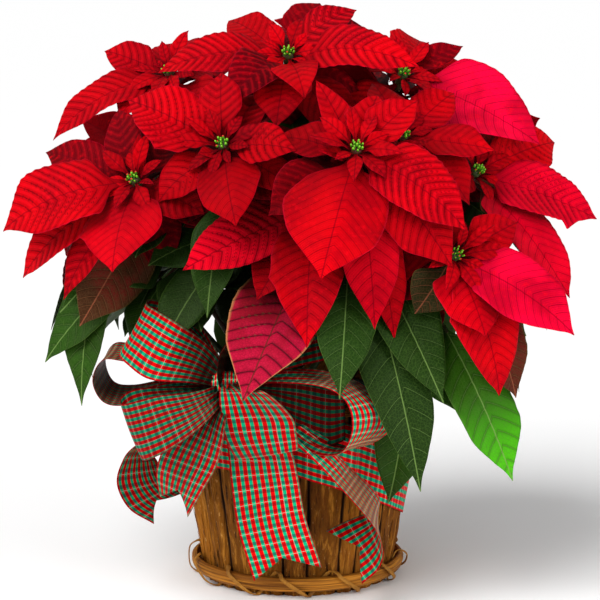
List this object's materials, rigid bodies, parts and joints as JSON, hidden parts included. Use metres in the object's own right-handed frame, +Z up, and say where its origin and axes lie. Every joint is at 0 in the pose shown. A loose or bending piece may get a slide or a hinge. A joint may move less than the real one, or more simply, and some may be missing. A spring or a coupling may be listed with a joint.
{
  "type": "potted flowering plant",
  "caption": "Red poinsettia with layered bracts and green leaves, planted in a pot inside a bark slat basket that is wrapped in plaid ribbon with a looped bow.",
  "frame": {"origin": "centre of the basket's flat underside, where it stands", "axes": "+Z up along the basket's axis, -Y toward the front, where the bow is, +X to the right seen from the front"},
  "size_m": [0.511, 0.4382, 0.5023],
  "materials": {
    "bark": "rough bark slats",
    "base_board": "sawn board",
    "hoop_wood": "half round split stick",
    "cane": "split cane",
    "pot_plastic": "dark green moulded plastic",
    "soil": "dark potting soil",
    "plaid_ribbon": "woven red and green plaid with white pin lines",
    "trunk": "woody stem",
    "leaf": "green leaf with pale veins",
    "bract": "red bract with darker veins",
    "cyathia": "small green yellow beads"
  },
  "bodies": {
    "root": {"basket_slats": "bark", "basket_base_board": "base_board", "foot_hoop": "hoop_wood", "foot_lashing": "cane", "rim_hoop": "hoop_wood", "rim_lashing": "cane", "growers_pot": "pot_plastic", "soil": "soil", "ribbon_wrap": "plaid_ribbon", "ribbon_bow": "plaid_ribbon", "trunk_left": "trunk", "trunk_right": "trunk", "trunk_rear": "trunk", "bloom_top": "bract", "leafy_stem_top": "leaf", "cyathia_top": "cyathia", "bloom_upper_left": "bract", "leafy_stem_upper_left": "leaf", "cyathia_upper_left": "cyathia", "bloom_left": "bract", "leafy_stem_left": "leaf", "cyathia_left": "cyathia", "bloom_centre": "bract", "leafy_stem_centre": "leaf", "cyathia_centre": "cyathia", "bloom_right_upper": "bract", "leafy_stem_right_upper": "leaf", "cyathia_right_upper": "cyathia", "bloom_right_lower": "bract", "leafy_stem_right_lower": "leaf", "cyathia_right_lower": "cyathia", "bloom_low_front": "bract", "leafy_stem_low_front": "leaf", "cyathia_low_front": "cyathia", "bloom_right": "bract", "leafy_stem_right": "leaf", "cyathia_right": "cyathia", "bloom_rear_right": "bract", "leafy_stem_rear_right": "leaf", "cyathia_rear_right": "cyathia", "bloom_rear_left": "bract", "leafy_stem_rear_left": "leaf", "cyathia_rear_left": "cyathia", "bloom_back_high": "bract", "leafy_stem_back_high": "leaf", "cyathia_back_high": "cyathia", "bloom_back_left": "bract", "leafy_stem_back_left": "leaf", "cyathia_back_left": "cyathia", "bloom_back_right": "bract", "leafy_stem_back_right": "leaf", "cyathia_back_right": "cyathia", "bloom_back_low": "bract", "leafy_stem_back_low": "leaf", "cyathia_back_low": "cyathia", "bloom_left_side": "bract", "leafy_stem_left_side": "leaf", "cyathia_left_side": "cyathia"}
  },
  "joints": []
}
